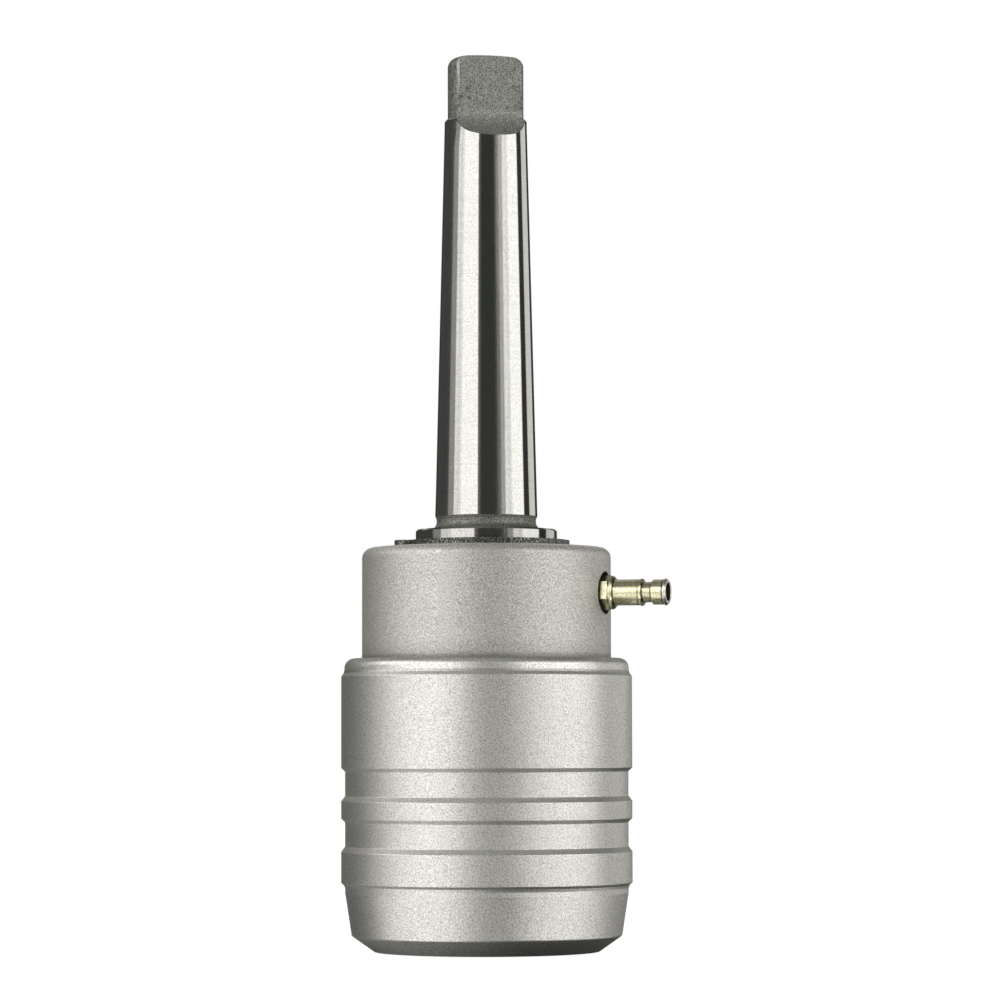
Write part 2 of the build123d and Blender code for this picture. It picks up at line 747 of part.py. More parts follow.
# ================================================================ release sleeve
with BuildPart() as release_sleeve:
    with BuildSketch(Plane.XZ) as sleeve_outline:
        with BuildLine():
            Polyline(
                (sleeve_neck_r - sleeve_lip_r, sleeve_top_z),
                (sleeve_bore_r, sleeve_top_z),
                (sleeve_bore_r, spring_seat_z),
                (sleeve_land_r, spring_seat_z),
                (sleeve_land_r, cam_top_z),
                (recess_r, cam_ref_z - (recess_r - cam_ref_r) / cam_slope),
                (recess_r, recess_bot_z),
                (sleeve_land_r, recess_bot_z),
                (sleeve_land_r, 2.86),
                (18.4, 1.51),
                (18.4, sleeve_bot_z),
                (19.9, sleeve_bot_z),
                (23.82, 2.93),
                (24.93, 10.2),
                (24.98, 10.4),
                (24.98, 11.3),
                (25.20, 11.78),
                (sleeve_r, 12.24),
                (sleeve_r, 17.66),
                (sleeve_groove_r, 18.60),
                (sleeve_groove_r, 22.84),
                (sleeve_r, 23.50),
                (sleeve_r, 26.54),
                (sleeve_groove_r, 27.46),
                (sleeve_groove_r, 31.74),
                (sleeve_r, 32.39),
                (sleeve_r, 48.45),
                (25.27, 49.08),
                (25.15, 49.45),
                (sleeve_neck_r, sleeve_top_z - sleeve_lip_r),
            )
            ThreePointArc(
                (sleeve_neck_r, sleeve_top_z - sleeve_lip_r),
                (sleeve_neck_r - sleeve_lip_r * (1 - math.sin(math.radians(45))),
                 sleeve_top_z - sleeve_lip_r * (1 - math.cos(math.radians(45)))),
                (sleeve_neck_r - sleeve_lip_r, sleeve_top_z),
            )
        make_face()
        # small roundings of the turned outer corners
        fillet(
            [v for v in sleeve_outline.vertices()
             if v.X > sleeve_r - 0.01 and 12 < v.Y < 49],
            radius=0.18,
        )
        fillet(
            [v for v in sleeve_outline.vertices()
             if abs(v.X - sleeve_groove_r) < 0.01 and 18 < v.Y < 32],
            radius=0.15,
        )
        fillet(
            [v for v in sleeve_outline.vertices() if abs(v.Y - 2.93) < 0.01],
            radius=0.45,
        )
    revolve(axis=Axis.Z)
    # keyway for the guide pin, open at the top
    with BuildSketch(radial(guide_angle, sleeve_bore_r - 1.0, 0)) as keyway:
        with Locations((0, (keyway_bot_z + keyway_w / 2 + sleeve_top_z + 2) / 2)):
            Rectangle(keyway_w, sleeve_top_z + 2 - keyway_bot_z - keyway_w / 2)
        with Locations((0, keyway_bot_z + keyway_w / 2)):
            Circle(keyway_w / 2)
    extrude(amount=keyway_r - sleeve_bore_r + 1.0, mode=Mode.SUBTRACT)
release_sleeve.part.label = "release_sleeve"
export_step(release_sleeve.part, "parts/release_sleeve.step")

# ================================================================ locking pins
# Stepped pins: a flat face for the cutter's flat, a domed head for the sleeve's cone.
dome_edge_r = pin_apex_r - pin_dome_r + math.sqrt(pin_dome_r**2 - pin_head_r**2)
dome_mid = math.radians(22)
pin_profile = (
    (pin_face_r, 0),
    (pin_face_r, pin_shank_r - 0.4),
    (pin_face_r + 0.4, pin_shank_r),
    (pin_shoulder_r, pin_shank_r),
    (pin_shoulder_r, pin_head_r),
    (dome_edge_r, pin_head_r),
)
dome_mid_pt = (
    pin_apex_r - pin_dome_r + pin_dome_r * math.cos(dome_mid),
    pin_dome_r * math.sin(dome_mid),
)

with BuildPart() as locking_pin_a:
    with BuildSketch(Plane.XZ) as pin_a_outline:
        with BuildLine():
            Polyline(*[(u, pin_z + v) for u, v in pin_profile])
            ThreePointArc(
                (dome_edge_r, pin_z + pin_head_r),
                (dome_mid_pt[0], pin_z + dome_mid_pt[1]),
                (pin_apex_r, pin_z),
            )
            Line((pin_apex_r, pin_z), (pin_face_r, pin_z))
        make_face()
    revolve(axis=Axis((0, 0, pin_z), (1, 0, 0)))
locking_pin_a.part.label = "locking_pin_a"
export_step(locking_pin_a.part, "parts/locking_pin_a.step")

with BuildPart() as locking_pin_b:
    with BuildSketch(Plane.YZ) as pin_b_outline:
        with BuildLine():
            Polyline(*[(u, pin_z + v) for u, v in pin_profile])
            ThreePointArc(
                (dome_edge_r, pin_z + pin_head_r),
                (dome_mid_pt[0], pin_z + dome_mid_pt[1]),
                (pin_apex_r, pin_z),
            )
            Line((pin_apex_r, pin_z), (pin_face_r, pin_z))
        make_face()
    revolve(axis=Axis((0, 0, pin_z), (0, 1, 0)))
locking_pin_b.part.label = "locking_pin_b"
export_step(locking_pin_b.part, "parts/locking_pin_b.step")
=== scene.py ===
"""Quick-change arbor for annular cutters, shown standing on its nose."""

import bpy
import math
from mathutils import Matrix, Vector


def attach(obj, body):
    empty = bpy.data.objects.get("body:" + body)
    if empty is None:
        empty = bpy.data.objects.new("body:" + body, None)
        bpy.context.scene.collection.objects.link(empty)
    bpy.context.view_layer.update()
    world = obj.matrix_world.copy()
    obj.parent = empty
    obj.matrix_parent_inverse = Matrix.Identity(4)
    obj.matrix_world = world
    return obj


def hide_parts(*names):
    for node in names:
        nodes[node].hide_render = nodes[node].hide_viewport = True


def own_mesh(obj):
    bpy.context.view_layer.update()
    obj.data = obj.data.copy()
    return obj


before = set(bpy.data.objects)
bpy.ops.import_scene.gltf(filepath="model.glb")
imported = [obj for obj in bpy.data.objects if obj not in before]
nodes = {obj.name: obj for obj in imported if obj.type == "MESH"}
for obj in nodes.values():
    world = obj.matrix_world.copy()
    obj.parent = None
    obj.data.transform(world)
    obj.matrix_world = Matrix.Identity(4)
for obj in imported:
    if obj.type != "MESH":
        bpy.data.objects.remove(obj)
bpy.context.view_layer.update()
MM = 0.001
scene = bpy.context.scene

# ------------------------------------------------------------------ camera
VIEW_AZ = math.radians(18.0)  # the nipple points right and a little towards the viewer
DIST = 726.3 * MM
CAM_Z = 37.2 * MM
PITCH = math.radians(3.35)
ROLL = math.radians(-0.11)
SIDE = 2.43 * MM
toward = Vector((math.sin(VIEW_AZ), -math.cos(VIEW_AZ), 0.0))
right = Vector((math.cos(VIEW_AZ), math.sin(VIEW_AZ), 0.0))

cam_data = bpy.data.cameras.new("camera")
cam_data.sensor_width = 36.0
cam_data.lens = 4106.0 * 36.0 / 1000.0
cam_data.clip_start = 0.01
cam_data.clip_end = 50.0
cam = bpy.data.objects.new("camera", cam_data)
scene.collection.objects.link(cam)
look = (-toward * math.cos(PITCH) + Vector((0, 0, 1)) * math.sin(PITCH)).normalized()
up = right.cross(look).normalized()
rot = Matrix((right, up, -look)).transposed()
cam.matrix_world = (
    Matrix.Translation(toward * DIST + right * SIDE + Vector((0, 0, CAM_Z)))
    @ rot.to_4x4()
    @ Matrix.Rotation(ROLL, 4, "Z")
)
scene.camera = cam
scene.view_settings.view_transform = "Standard"
scene.view_settings.look = "None"


# ------------------------------------------------------------------ node helpers
class Nodes:
    """Short-hand for building a material's node tree."""

    def __init__(self, name):
        self.mat = bpy.data.materials.new(name)
        self.mat.use_nodes = True
        self.t = self.mat.node_tree
        self.t.nodes.clear()
        self.out = self.t.nodes.new("ShaderNodeOutputMaterial")
        self.coord = self.t.nodes.new("ShaderNodeTexCoord")
        self.pos = self.coord.outputs["Object"]

    def link(self, a, b):
        self.t.links.new(a, b)

    def put(self, socket, value):
        if hasattr(value, "is_output") or isinstance(value, bpy.types.NodeSocket):
            self.link(value, socket)
        else:
            socket.default_value = value

    def math(self, op, a, b=0.0, c=None, clamp=False):
        n = self.t.nodes.new("ShaderNodeMath")
        n.operation = op
        n.use_clamp = clamp
        self.put(n.inputs[0], a)
        self.put(n.inputs[1], b)
        if c is not None:
            self.put(n.inputs[2], c)
        return n.outputs[0]

    def mapping(self, vec, scale=(1, 1, 1), loc=(0, 0, 0), rot=(0, 0, 0)):
        n = self.t.nodes.new("ShaderNodeMapping")
        self.link(vec, n.inputs["Vector"])
        n.inputs["Scale"].default_value = scale
        n.inputs["Location"].default_value = loc
        n.inputs["Rotation"].default_value = rot
        return n.outputs[0]

    def noise(self, vec, scale, detail=2.0, rough=0.5, distortion=0.0):
        n = self.t.nodes.new("ShaderNodeTexNoise")
        self.link(vec, n.inputs["Vector"])
        n.inputs["Scale"].default_value = scale
        n.inputs["Detail"].default_value = detail
        n.inputs["Roughness"].default_value = rough
        n.inputs["Distortion"].default_value = distortion
        return n.outputs["Fac"]

    def voronoi(self, vec, scale, randomness=1.0):
        n = self.t.nodes.new("ShaderNodeTexVoronoi")
        self.link(vec, n.inputs["Vector"])
        n.inputs["Scale"].default_value = scale
        n.inputs["Randomness"].default_value = randomness
        return n.outputs["Distance"], n.outputs["Color"]

    def ramp(self, fac, stops, interp="LINEAR"):
        n = self.t.nodes.new("ShaderNodeValToRGB")
        n.color_ramp.interpolation = interp
        el = n.color_ramp.elements
        while len(el) < len(stops):
            el.new(0.5)
        for e, (p, c) in zip(el, stops):
            e.position = p
            e.color = (*c, 1.0) if len(c) == 3 else c
        self.link(fac, n.inputs["Fac"])
        return n.outputs["Color"]

    def map_range(self, v, a, b, c, d, smooth=False):
        n = self.t.nodes.new("ShaderNodeMapRange")
        if smooth:
            n.interpolation_type = "SMOOTHSTEP"
        self.put(n.inputs["Value"], v)
        n.inputs["From Min"].default_value = a
        n.inputs["From Max"].default_value = b
        n.inputs["To Min"].default_value = c
        n.inputs["To Max"].default_value = d
        return n.outputs[0]

    def mix(self, fac, a, b, mode="MIX"):
        n = self.t.nodes.new("ShaderNodeMix")
        n.data_type = "RGBA"
        n.blend_type = mode
        self.put(n.inputs[0], fac)
        self.put(n.inputs[6], a)
        self.put(n.inputs[7], b)
        return n.outputs[2]

    def geo_normal(self):
        return self.t.nodes.new("ShaderNodeNewGeometry").outputs["True Normal"]

    def sep(self, vec):
        n = self.t.nodes.new("ShaderNodeSeparateXYZ")
        self.link(vec, n.inputs[0])
        return n.outputs

    def bump(self, height, strength, distance, normal=None):
        n = self.t.nodes.new("ShaderNodeBump")
        self.put(n.inputs["Height"], height)
        n.inputs["Strength"].default_value = strength
        n.inputs["Distance"].default_value = distance
        if normal is not None:
            self.link(normal, n.inputs["Normal"])
        return n.outputs[0]

    def bsdf(self, color, rough, metallic=1.0, normal=None, **more):
        n = self.t.nodes.new("ShaderNodeBsdfPrincipled")
        self.put(n.inputs["Base Color"], color)
        self.put(n.inputs["Roughness"], rough)
        self.put(n.inputs["Metallic"], metallic)
        if normal is not None:
            self.link(normal, n.inputs["Normal"])
        for k, v in more.items():
            self.put(n.inputs[k.replace("_", " ")], v)
        return n

    def finish(self, shader):
        self.link(shader, self.out.inputs["Surface"])
        return self.mat


def rgb(r, g, b):
    return (r, g, b, 1.0)


# ------------------------------------------------------------------ materials
def blasted(name, color, rough, grain, speck, bump_mm, seed, size, recess=False, nose=False):
    """Bead-blasted metal: fine dimples, soft sparkle, a few larger pits."""
    m = Nodes(name)
    p = m.mapping(m.pos, loc=(seed, seed * 0.37, -seed * 0.21))
    grit = m.noise(p, size, 0.0, 0.6)
    wide = m.noise(p, 120.0, 3.0, 0.6)
    shade = m.map_range(grit, 0.3, 0.7, 1.0 - grain, 1.0 + grain)
    cloud = m.map_range(wide, 0.3, 0.7, 0.985, 1.012)
    shade = m.math("MULTIPLY", shade, cloud)
    xyz = m.sep(m.pos)
    # sparse dark pits
    dist, cell = m.voronoi(p, 620.0)
    pick = m.sep(cell)[0]
    pit = m.math(
        "MULTIPLY",
        m.map_range(dist, 0.03, 0.10, 1.0, 0.0),
        m.math("GREATER_THAN", pick, m.map_range(xyz[2], 53.0 * MM, 56.0 * MM, 0.93, 0.985) if recess else 0.985),
    )
    shade = m.math("MULTIPLY", shade, m.math("SUBTRACT", 1.0, m.math("MULTIPLY", pit, speck)))
    if nose:
        # painted shade: the chamfer round the nose is darkened, more towards the bottom
        painted_light = m.math(
            "MULTIPLY",
            m.map_range(xyz[2], 0.2 * MM, 2.6 * MM, 0.70, 1.0),
            m.map_range(xyz[2], 2.62 * MM, 2.74 * MM, 0.88, 1.0),
        )
        # painted shade at the joint: the sleeve's top rim beside the coolant ring is darkened
        painted_light = m.math("MULTIPLY", painted_light, m.map_range(xyz[2], 51.20 * MM, 51.40 * MM, 1.0, 0.62))
        # painted shade on the up-facing step of the neck below the rim
        neck = m.math(
            "MULTIPLY",
            m.map_range(xyz[2], 49.02 * MM, 49.12 * MM, 0.0, 0.30),
            m.map_range(xyz[2], 49.38 * MM, 49.60 * MM, 1.0, 0.0),
        )
        painted_light = m.math("MULTIPLY", painted_light, m.math("SUBTRACT", 1.0, neck))
        # painted highlight: sloped bevels are made a little brighter, chosen by the surface normal
        slope = m.math("ABSOLUTE", m.sep(m.geo_normal())[2])
        wear_and_sheen = m.math("MULTIPLY", m.map_range(slope, 0.28, 0.45, 0.0, 0.12), m.map_range(slope, 0.74, 0.80, 1.0, 0.0))
        painted_light = m.math("MULTIPLY", painted_light, m.math("ADD", 1.0, wear_and_sheen))
        shade = m.math("MULTIPLY", shade, painted_light)
    if recess:
        # painted shade on the ring's lowest few millimetres, darkest just above the sleeve's rim
        painted_shade = m.math(
            "MULTIPLY",
            m.map_range(xyz[2], 52.3 * MM, 55.6 * MM, 0.87, 1.0, smooth=True),
            m.map_range(xyz[2], 51.6 * MM, 52.6 * MM, 0.62, 1.0, smooth=True),
        )
        shade = m.math("MULTIPLY", shade, painted_shade)
        # painted shade in the nipple's spot face
        off = m.math("SUBTRACT", xyz[2], 63.0 * MM)
        away = m.math(
            "SQRT", m.math("ADD", m.math("POWER", xyz[1], 2.0), m.math("POWER", off, 2.0))
        )
        inside = m.math(
            "MULTIPLY", m.math("LESS_THAN", away, 3.8 * MM), m.math("GREATER_THAN", xyz[0], 20.0 * MM)
        )
        shade = m.math("MULTIPLY", shade, m.math("SUBTRACT", 1.0, m.math("MULTIPLY", inside, 0.62)))
        # painted highlight on its rim, on the viewer's side
        rim_highlight = m.math(
            "MULTIPLY",
            m.math(
                "MULTIPLY",
                m.map_range(away, 3.80 * MM, 3.86 * MM, 0.0, 1.0),
                m.map_range(away, 3.94 * MM, 4.04 * MM, 1.0, 0.0),
            ),
            m.math(
                "MULTIPLY",
                m.map_range(xyz[1], -3.6 * MM, -2.4 * MM, 0.22, 0.0),
                m.math("GREATER_THAN", xyz[0], 20.0 * MM),
            ),
        )
        # a small nick in the upper edge, its bright faces painted as a highlight
        along = m.math("ADD", m.math("MULTIPLY", xyz[0], 0.995), m.math("MULTIPLY", xyz[1], -0.101))
        along = m.math("ABSOLUTE", m.math("SUBTRACT", along, 0.52 * MM))
        nick_highlight = m.math(
            "MULTIPLY",
            m.math("LESS_THAN", along, m.map_range(xyz[2], 69.44 * MM, 69.96 * MM, 0.0, 0.58 * MM)),
            m.math(
                "MULTIPLY", m.math("LESS_THAN", xyz[2], 69.96 * MM), m.math("LESS_THAN", xyz[1], -18.0 * MM)
            ),
        )
        light = m.math("ADD", 1.0, m.math("ADD", rim_highlight, m.math("MULTIPLY", nick_highlight, 0.55)))
        shade = m.math("MULTIPLY", shade, light)
        # painted highlight: the upper rounding is made brighter than the wall
        shade = m.math("MULTIPLY", shade, m.map_range(xyz[2], 70.0 * MM, 70.8 * MM, 1.0, 1.25, smooth=True))
    comb = m.t.nodes.new("ShaderNodeCombineColor")
    for i in range(3):
        m.link(m.math("MULTIPLY", shade, color[i]), comb.inputs[i])
    roughness = m.map_range(grit, 0.3, 0.7, rough + 0.03, rough - 0.03)
    height = m.math("SUBTRACT", grit, m.math("MULTIPLY", pit, 0.8))
    nor = m.bump(height, 1.0, bump_mm * MM)
    b = m.bsdf(comb.outputs[0], roughness, 1.0, nor)
    return m.finish(b.outputs[0])


mat_sleeve = blasted("blasted_steel", (0.80, 0.79, 0.765), 0.45, 0.31, 0.7, 0.0014, 3.1, 5400.0, nose=True)
mat_housing = blasted("blasted_aluminium", (0.68, 0.67, 0.65), 0.59, 0.31, 0.8, 0.0018, 7.7, 5400.0, recess=True)


FLAT = (math.cos(math.radians(-58.0)), math.sin(math.radians(-58.0)))  # across the tang


def ground_arbor():
    """Ground taper and collar, matte tang and relief groove, by where they are."""
    m = Nodes("ground_steel")
    xyz = m.sep(m.pos)
    radius = m.math(
        "SQRT", m.math("ADD", m.math("POWER", xyz[0], 2.0), m.math("POWER", xyz[1], 2.0))
    )
    z = xyz[2]
    # ground surface: fine rings round the axis
    ring = m.mapping(m.pos, scale=(60.0, 60.0, 5200.0))
    ring_noise = m.noise(ring, 1.0, 3.0, 0.65)
    mottle = m.noise(m.mapping(m.pos, scale=(1.0, 1.0, 0.35)), 700.0, 3.0, 0.6)
    fine = m.noise(m.pos, 4600.0, 1.0, 0.6)
    ground_shade = m.math(
        "MULTIPLY",
        m.math(
            "MULTIPLY",
            m.map_range(ring_noise, 0.3, 0.7, 0.94, 1.03),
            m.map_range(mottle, 0.3, 0.7, 0.96, 1.03),
        ),
        m.map_range(fine, 0.3, 0.7, 0.84, 1.14),
    )
    ground_shade = m.math("MULTIPLY", ground_shade, m.map_range(z, 74.3 * MM, 74.6 * MM, 0.86, 1.0))
    gcol = m.t.nodes.new("ShaderNodeCombineColor")
    for i, c in enumerate((0.62, 0.618, 0.605)):
        m.link(m.math("MULTIPLY", ground_shade, c), gcol.inputs[i])
    gnor = m.bump(ring_noise, 0.25, 0.002 * MM)
    tangent = m.t.nodes.new("ShaderNodeTangent")
    tangent.direction_type = "RADIAL"
    tangent.axis = "Z"
    ground = m.bsdf(gcol.outputs[0], 0.12, 1.0, gnor, Anisotropic=0.88, Anisotropic_Rotation=0.25)
    m.link(tangent.outputs[0], ground.inputs["Tangent"])
    # matte surface of the tang: scale left from hardening, dark blotches, a few painted glints
    grit = m.noise(m.pos, 5400.0, 0.0, 0.6)
    blotch = m.noise(m.pos, 380.0, 3.0, 0.6)
    dist, cell = m.voronoi(m.pos, 700.0)
    pick = m.sep(cell)
    spot = m.math(
        "MULTIPLY",
        m.map_range(dist, 0.10, 0.42, 1.0, 0.0, smooth=True),
        m.math("GREATER_THAN", pick[0], 0.80),
    )
    glint = m.math(
        "MULTIPLY",
        m.map_range(dist, 0.05, 0.13, 1.0, 0.0),
        m.math("GREATER_THAN", pick[1], 0.975),
    )
    matte_shade = m.math(
        "MULTIPLY",
        m.map_range(grit, 0.3, 0.7, 0.50, 1.50),
        m.map_range(blotch, 0.3, 0.7, 0.86, 1.10),
    )
    matte_shade = m.math("MULTIPLY", matte_shade, m.math("SUBTRACT", 1.0, m.math("MULTIPLY", spot, 0.50)))
    # painted highlight along the edges between the tang's flats and its round sides, patchy and strongest near the top
    flat = m.math(
        "ABSOLUTE",
        m.math("ADD", m.math("MULTIPLY", xyz[0], FLAT[0]), m.math("MULTIPLY", xyz[1], FLAT[1])),
    )
    edge_line = m.math(
        "MULTIPLY",
        m.map_range(m.math("ABSOLUTE", m.math("SUBTRACT", flat, 3.13 * MM)), 0.05 * MM, 0.13 * MM, 1.0, 0.0),
        m.math("GREATER_THAN", radius, 6.35 * MM),
    )
    wear_and_sheen = m.map_range(m.noise(m.mapping(m.pos, scale=(1.0, 1.0, 0.2)), 900.0, 2.0, 0.6), 0.40, 0.55, 0.0, 1.0)
    higher = m.map_range(z, 151.5 * MM, 154.0 * MM, 0.15, 1.0)
    edge_line = m.math("MULTIPLY", edge_line, m.math("MULTIPLY", wear_and_sheen, higher))
    bright = m.math("MAXIMUM", m.math("MULTIPLY", edge_line, 0.75), glint)
    bright = m.math("MULTIPLY", bright, m.math("GREATER_THAN", z, 140.0 * MM))
    # the flats' outer edges are speckled dark
    rim = m.math(
        "MULTIPLY",
        m.map_range(radius, 6.05 * MM, 6.55 * MM, 0.0, 0.45),
        m.map_range(m.noise(m.pos, 2300.0, 1.0, 0.6), 0.42, 0.62, 0.0, 1.0),
    )
    rim = m.math("MULTIPLY", rim, m.math("LESS_THAN", flat, 3.18 * MM))
    matte_shade = m.math("MULTIPLY", matte_shade, m.math("SUBTRACT", 1.0, rim))
    # scallop a little darker than the flats
    lower = m.map_range(z, 145.0 * MM, 149.5 * MM, 1.05, 1.03)
    matte_shade = m.math("MULTIPLY", matte_shade, lower)
    sides = m.map_range(flat, 3.16 * MM, 3.30 * MM, 1.0, 1.24)
    matte_shade = m.math("MULTIPLY", matte_shade, sides)
    mcol = m.t.nodes.new("ShaderNodeCombineColor")
    for i, c in enumerate((0.355, 0.36, 0.34)):
        m.link(m.math("ADD", m.math("MULTIPLY", matte_shade, c), m.math("MULTIPLY", bright, 0.45)), mcol.inputs[i])
    mnor = m.bump(grit, 1.0, 0.008 * MM)
    matte = m.bsdf(mcol.outputs[0], m.map_range(bright, 0.0, 1.0, 0.62, 0.35), 1.0, mnor)
    # turned, unground surface of the relief groove
    lathe = m.noise(m.mapping(m.pos, scale=(60.0, 60.0, 7000.0)), 1.0, 2.0, 0.6)
    rshade = m.math(
        "MULTIPLY", m.map_range(lathe, 0.3, 0.7, 0.84, 1.10), m.map_range(grit, 0.3, 0.7, 0.48, 1.52)
    )
    rcol = m.t.nodes.new("ShaderNodeCombineColor")
    for i, c in enumerate((0.285, 0.285, 0.265)):
        m.link(m.math("MULTIPLY", rshade, c), rcol.inputs[i])
    relief = m.bsdf(rcol.outputs[0], 0.62, 1.0, m.bump(lathe, 0.6, 0.004 * MM))
    # where: inside the taper's cone above z 143, and in the relief groove
    cone = m.math("SUBTRACT", 8.89 * MM, m.math("MULTIPLY", m.math("SUBTRACT", z, 83.5 * MM), 0.5 / 20.02))
    inside = m.math("GREATER_THAN", m.math("SUBTRACT", cone, radius), 0.085 * MM)
    where = m.math("MULTIPLY", inside, m.math("GREATER_THAN", z, 143.0 * MM))
    groove = m.math(
        "MULTIPLY",
        m.math("LESS_THAN", radius, 10.4 * MM),
        m.math("MULTIPLY", m.math("LESS_THAN", z, 76.72 * MM), m.math("GREATER_THAN", z, 74.43 * MM)),
    )
    mix1 = m.t.nodes.new("ShaderNodeMixShader")
    m.link(groove, mix1.inputs[0])
    m.link(ground.outputs[0], mix1.inputs[1])
    m.link(relief.outputs[0], mix1.inputs[2])
    mix = m.t.nodes.new("ShaderNodeMixShader")
    m.link(where, mix.inputs[0])
    m.link(mix1.outputs[0], mix.inputs[1])
    m.link(matte.outputs[0], mix.inputs[2])
    return m.finish(mix.outputs[0])


mat_arbor = ground_arbor()


def phosphate():
    """Phosphated spring steel: dark, with light crystals."""
    m = Nodes("black_spring_steel")
    grit = m.noise(m.pos, 3600.0, 1.0, 0.7)
    spark = m.map_range(m.noise(m.pos, 3700.0, 0.0, 0.5), 0.52, 0.72, 0.0, 1.0)
    shade = m.map_range(grit, 0.3, 0.7, 0.03, 0.12)
    shade = m.math("ADD", shade, m.math("MULTIPLY", spark, 0.36))
    c = m.t.nodes.new("ShaderNodeCombineColor")
    m.link(m.math("MULTIPLY", shade, 0.98), c.inputs[0])
    m.link(shade, c.inputs[1])
    m.link(m.math("MULTIPLY", shade, 0.90), c.inputs[2])
    b = m.bsdf(c.outputs[0], m.map_range(grit, 0.3, 0.7, 0.5, 0.4), 0.7, m.bump(grit, 1.0, 0.01 * MM))
    return m.finish(b.outputs[0])


mat_black = phosphate()


def turned(name, color, rough, axis="Z", lines=3000.0, depth=0.003, vary=0.06, metallic=1.0):
    """Turned metal with fine tool lines round its axis."""
    m = Nodes(name)
    s = {"Z": (40.0, 40.0, lines), "X": (lines, 40.0, 40.0)}[axis]
    n = m.noise(m.mapping(m.pos, scale=s), 1.0, 3.0, 0.6)
    g = m.noise(m.pos, 2600.0, 2.0, 0.55)
    shade = m.math(
        "MULTIPLY",
        m.map_range(n, 0.3, 0.7, 1.0 - vary, 1.0 + vary * 0.6),
        m.map_range(g, 0.3, 0.7, 0.95, 1.04),
    )
    c = m.t.nodes.new("ShaderNodeCombineColor")
    for i in range(3):
        m.link(m.math("MULTIPLY", shade, color[i]), c.inputs[i])
    b = m.bsdf(c.outputs[0], m.map_range(g, 0.3, 0.7, rough + 0.03, rough - 0.03), metallic, m.bump(n, 0.5, depth * MM))
    return m.finish(b.outputs[0])


def plated_nipple():
    """Pale plated brass, fine turning lines, painted shade inside the bore and in the corners between the steps."""
    m = Nodes("nickel_brass")
    xyz = m.sep(m.pos)
    off = m.math("SUBTRACT", xyz[2], 63.0 * MM)
    away = m.math("SQRT", m.math("ADD", m.math("POWER", xyz[1], 2.0), m.math("POWER", off, 2.0)))
    lines = m.noise(m.mapping(m.pos, scale=(2600.0, 30.0, 30.0)), 1.0, 2.0, 0.6)
    grain = m.noise(m.pos, 4000.0, 0.0, 0.6)
    cloud = m.noise(m.pos, 600.0, 2.0, 0.6)
    shade = m.math(
        "MULTIPLY", m.map_range(lines, 0.3, 0.7, 0.90, 1.05), m.map_range(grain, 0.3, 0.7, 0.78, 1.20)
    )
    shade = m.math("MULTIPLY", shade, m.map_range(cloud, 0.3, 0.7, 0.95, 1.03))
    # painted shade inside the bore
    bore = m.math(
        "MULTIPLY", m.math("LESS_THAN", away, 1.60 * MM), m.math("LESS_THAN", xyz[0], 33.36 * MM)
    )
    shade = m.math("MULTIPLY", shade, m.math("SUBTRACT", 1.0, m.math("MULTIPLY", bore, 0.73)))
    # painted shade on the upward-facing tops of the hexagon and the barrel, and the neck is made darker than the rest
    up = m.map_range(m.sep(m.geo_normal())[2], 0.70, 0.96, 0.0, 1.0)
    painted_shade = m.math("MULTIPLY", up, m.map_range(xyz[0], 23.70 * MM, 24.0 * MM, 0.24, 0.42))
    shade = m.math("MULTIPLY", shade, m.math("SUBTRACT", 1.0, painted_shade))
    neck = m.math("MULTIPLY", m.math("GREATER_THAN", xyz[0], 29.14 * MM), m.math("LESS_THAN", xyz[0], 30.46 * MM))
    shade = m.math("MULTIPLY", shade, m.math("SUBTRACT", 1.0, m.math("MULTIPLY", neck, 0.16)))
    # painted shade in the corners between the steps
    corner_shade = None
    for x0, x1, reach in (
        (23.08, 23.17, 3.05),
        (23.70, 23.95, 2.78),
        (28.92, 29.14, 2.25),
        (30.46, 30.66, 1.98),
        (32.56, 32.79, 2.26),
    ):
        one = m.math(
            "MULTIPLY",
            m.math("MULTIPLY", m.math("GREATER_THAN", xyz[0], x0 * MM), m.math("LESS_THAN", xyz[0], x1 * MM)),
            m.math("LESS_THAN", away, reach * MM),
        )
        corner_shade = one if corner_shade is None else m.math("MAXIMUM", corner_shade, one)
    shade = m.math("MULTIPLY", shade, m.math("SUBTRACT", 1.0, m.math("MULTIPLY", corner_shade, 0.72)))
    # the plating is rubbed pale on the end's rim
    wear_and_sheen = m.math(
        "MULTIPLY", m.math("GREATER_THAN", xyz[0], 32.90 * MM), m.math("GREATER_THAN", away, 1.60 * MM)
    )
    c = m.t.nodes.new("ShaderNodeCombineColor")
    for i, (v, pale) in enumerate(((0.853, 0.02), (0.815, 0.04), (0.560, 0.22))):
        m.link(m.math("MULTIPLY", shade, m.math("ADD", v, m.math("MULTIPLY", wear_and_sheen, pale))), c.inputs[i])
    rough = m.math("ADD", m.map_range(grain, 0.3, 0.7, 0.31, 0.27), m.math("MULTIPLY", bore, 0.2))
    rough = m.math("ADD", rough, m.math("MULTIPLY", wear_and_sheen, 0.10))
    b = m.bsdf(c.outputs[0], rough, 1.0, m.bump(lines, 0.4, 0.003 * MM))
    return m.finish(b.outputs[0])


mat_nipple = plated_nipple()
mat_bronze = turned("bronze", (0.62, 0.42, 0.22), 0.3)
mat_bearing = turned("bearing_steel", (0.70, 0.70, 0.69), 0.10, vary=0.03)
mat_wire = turned("spring_wire", (0.45, 0.45, 0.44), 0.3, vary=0.08)
mat_plain = turned("hardened_steel", (0.50, 0.49, 0.47), 0.24)


